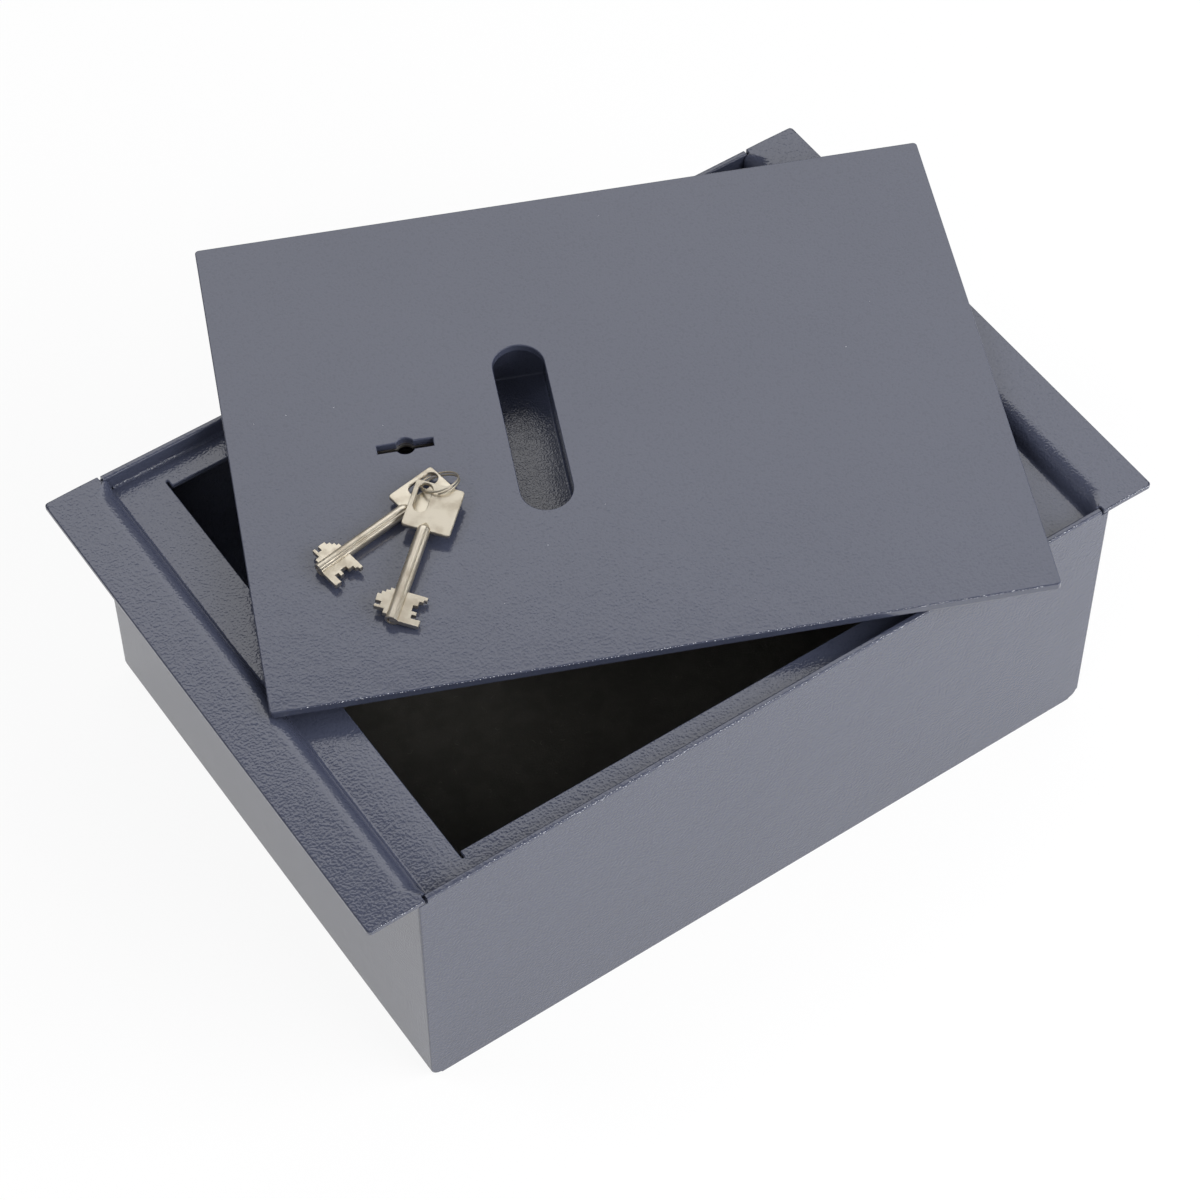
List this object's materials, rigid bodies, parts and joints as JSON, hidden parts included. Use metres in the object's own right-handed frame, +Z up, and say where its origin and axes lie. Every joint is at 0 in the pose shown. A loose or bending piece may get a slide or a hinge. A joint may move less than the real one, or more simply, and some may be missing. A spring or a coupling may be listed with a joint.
{
  "type": "floor safe",
  "caption": "Shallow steel floor safe with two end flanges, a lift-out locking lid with a handle slot, a lever lock and two keys on a ring.",
  "frame": {"origin": "middle of the box's flat underside", "axes": "+X along the box's length towards the end away from the lock, +Y to the back wall, +Z up"},
  "size_m": [0.4264, 0.364, 0.156],
  "materials": {
    "blue_grey_coat": "fine textured powder coat, satin",
    "black_felt": "pressed felt",
    "nickel": "nickel plate, slightly worn",
    "bright_steel": "machined, oiled",
    "hardened_steel": "blued by hardening",
    "zinc_steel": "zinc plate",
    "spring_steel": "spring strip",
    "lever_brass": "blanked sheet"
  },
  "bodies": {
    "box": {"base_pan": "blue_grey_coat", "front_wall": "blue_grey_coat", "back_wall": "blue_grey_coat", "seat_frame": "blue_grey_coat", "ledge_welds": "blue_grey_coat", "flange_welds": "blue_grey_coat", "corner_welds": "blue_grey_coat", "floor_mat": "black_felt"},
    "lid": {"lid_plate": "blue_grey_coat", "handle_pocket": "blue_grey_coat", "front_stiffener_bar": "blue_grey_coat", "back_stiffener_bar": "blue_grey_coat", "front_lid_tongue": "blue_grey_coat", "back_lid_tongue": "blue_grey_coat", "hard_plate": "hardened_steel", "keyhole_washer": "nickel", "lock_case": "zinc_steel", "lock_cover": "zinc_steel", "key_post": "bright_steel", "lever_pin": "bright_steel", "guide_pin": "bright_steel", "lock_studs": "bright_steel", "lock_nuts": "zinc_steel", "cover_screws": "zinc_steel"},
    "bolt": {"lock_bolt": "bright_steel"},
    "lever_pack": {"lever_1": "lever_brass", "lever_2": "lever_brass", "lever_3": "lever_brass", "lever_4": "lever_brass", "lever_5": "lever_brass", "lever_springs": "spring_steel"},
    "ring": {"key_ring": "nickel"},
    "under_key_body": {"under_key": "nickel"},
    "upper_key_body": {"upper_key": "nickel"}
  },
  "joints": [
    {"name": "lid_lift", "type": "slide", "parent": "box", "child": "lid", "axis": [0, 0, 1], "range_m": [0, 0.12]},
    {"name": "bolt_throw", "type": "slide", "parent": "lid", "child": "bolt", "axis": [-0.9156, 0.4019, -0.0146], "range_m": [0, 0.012]},
    {"name": "lever_swing", "type": "hinge", "parent": "lid", "child": "lever_pack", "pos_m": [-0.04803, 0.04052, 0.14154], "axis": [-0.0248, -0.02, 0.9995], "range_deg": [0, 3]},
    {"name": "keys_lift", "type": "slide", "parent": "lid", "child": "ring", "axis": [-0.0248, -0.02, 0.9995], "range_m": [0, 0.1]},
    {"name": "under_key_swing", "type": "hinge", "parent": "ring", "child": "under_key_body", "pos_m": [-0.06459, 0.03829, 0.14924], "axis": [-0.0248, -0.02, 0.9995], "range_deg": [-1.5, 2.5]},
    {"name": "upper_key_swing", "type": "hinge", "parent": "ring", "child": "upper_key_body", "pos_m": [-0.06637, 0.03231, 0.15286], "axis": [-0.0248, -0.02, 0.9995], "range_deg": [-2, 2.5]}
  ],
  "couplings": [
    {"joint": "lever_swing", "follows": "bolt_throw", "rad_per_m": 4.3633}
  ]
}
